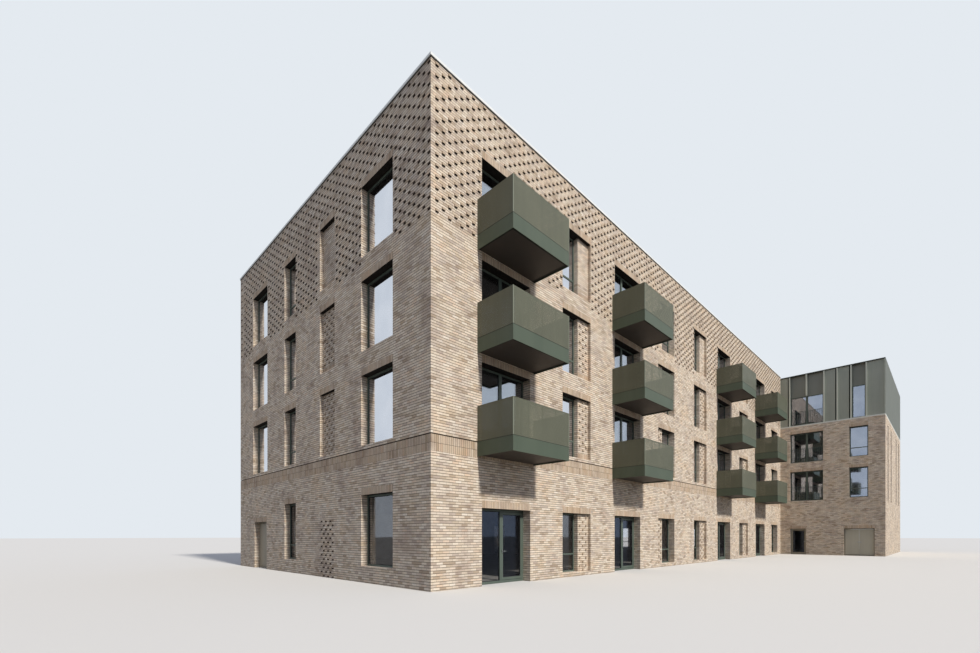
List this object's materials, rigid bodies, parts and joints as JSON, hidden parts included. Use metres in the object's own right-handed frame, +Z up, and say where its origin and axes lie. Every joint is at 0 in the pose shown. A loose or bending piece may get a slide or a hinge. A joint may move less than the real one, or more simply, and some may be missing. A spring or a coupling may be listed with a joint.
{
  "type": "apartment block, half-size scale model",
  "caption": "Long brick apartment block with balcony stacks, patterned brick panels and a crossing wing whose top storey is clad in metal, at half of real size.",
  "frame": {"origin": "under the middle of the whole block's bounding box, at ground level", "axes": "+Z up, +X along the long front from the gable to the wing, -Y out of the long front"},
  "size_m": [24.414, 10.894, 7.136],
  "materials": {
    "brick": "multi buff brickwork",
    "panel_brick": "patterned brickwork",
    "concrete": "plain concrete",
    "pale_coping": "pale satin",
    "metal_cladding": "satin olive",
    "dark_panel": "matt dark",
    "frame_paint": "satin green grey",
    "balcony_paint": "satin olive",
    "door_paint": "satin khaki",
    "window_glass": "clear"
  },
  "bodies": {
    "building": {"front_ground_piers": "brick", "front_upper_wall": "brick", "gable_ground_wall": "brick", "gable_upper_wall": "brick", "rear_wall": "brick", "wing_ground_piers": "brick", "wing_front_wall": "brick", "wing_end_wall": "brick", "wing_side_wall": "brick", "wing_rear_wall": "brick", "front_brick_panels": "panel_brick", "gable_brick_panels": "panel_brick", "rear_brick_panels": "panel_brick", "ground_slab": "concrete", "floor_slabs": "concrete", "roof_slab": "concrete", "balcony_decks": "concrete", "main_coping": "pale_coping", "wing_cap": "pale_coping", "wing_metal_sides": "metal_cladding", "wing_metal_ends": "metal_cladding", "wing_seams": "metal_cladding", "wing_roof_edge": "metal_cladding", "wing_infill_panels": "dark_panel", "balcony_soffits": "dark_panel", "front_window_frames": "frame_paint", "gable_window_frames": "frame_paint", "rear_window_frames": "frame_paint", "wing_window_frames": "frame_paint", "balcony_door_frames": "frame_paint", "terrace_door_frames": "frame_paint", "juliet_rails": "frame_paint", "front_window_glass": "window_glass", "gable_window_glass": "window_glass", "rear_window_glass": "window_glass", "wing_window_glass": "window_glass", "balcony_door_glass": "window_glass", "terrace_fixed_glass": "window_glass", "balcony_fascias": "balcony_paint", "balcony_front_guards": "balcony_paint", "balcony_side_guards": "balcony_paint", "balcony_rails": "balcony_paint", "ground_door_frames": "door_paint"},
    "service_door_leaf": {"service_door": "door_paint"},
    "entrance_door_leaf": {"entrance_door": "frame_paint", "entrance_glass": "window_glass"},
    "store_door_left_leaf": {"store_door_left": "door_paint"},
    "store_door_right_leaf": {"store_door_right": "door_paint"},
    "terrace_door_1_leaf": {"terrace_door_1": "frame_paint", "terrace_glass_1": "window_glass"},
    "terrace_door_2_leaf": {"terrace_door_2": "frame_paint", "terrace_glass_2": "window_glass"},
    "terrace_door_3_leaf": {"terrace_door_3": "frame_paint", "terrace_glass_3": "window_glass"},
    "terrace_door_4_leaf": {"terrace_door_4": "frame_paint", "terrace_glass_4": "window_glass"}
  },
  "joints": [
    {"name": "service_door_swing", "type": "hinge", "parent": "building", "child": "service_door_leaf", "pos_m": [-12.087, 4.4125, 0.155], "axis": [0, 0, -1], "range_deg": [0, 90]},
    {"name": "terrace_door_1_swing", "type": "hinge", "parent": "building", "child": "terrace_door_1_leaf", "pos_m": [-10.1835, -2.071, 0.155], "axis": [0, 0, 1], "range_deg": [0, 90]},
    {"name": "terrace_door_2_swing", "type": "hinge", "parent": "building", "child": "terrace_door_2_leaf", "pos_m": [-6.4035, -2.071, 0.155], "axis": [0, 0, 1], "range_deg": [0, 90]},
    {"name": "terrace_door_3_swing", "type": "hinge", "parent": "building", "child": "terrace_door_3_leaf", "pos_m": [-0.5085, -2.071, 0.155], "axis": [0, 0, 1], "range_deg": [0, 90]},
    {"name": "terrace_door_4_swing", "type": "hinge", "parent": "building", "child": "terrace_door_4_leaf", "pos_m": [3.2415, -2.071, 0.155], "axis": [0, 0, 1], "range_deg": [0, 90]},
    {"name": "entrance_door_swing", "type": "hinge", "parent": "building", "child": "entrance_door_leaf", "pos_m": [5.613, -2.5825, 0.155], "axis": [0, 0, -1], "range_deg": [0, 90]},
    {"name": "store_door_left_swing", "type": "hinge", "parent": "building", "child": "store_door_left_leaf", "pos_m": [5.613, -4.2925, 0.155], "axis": [0, 0, -1], "range_deg": [0, 90]},
    {"name": "store_door_right_swing", "type": "hinge", "parent": "building", "child": "store_door_right_leaf", "pos_m": [5.613, -5.1215, 0.155], "axis": [0, 0, 1], "range_deg": [0, 90]}
  ]
}
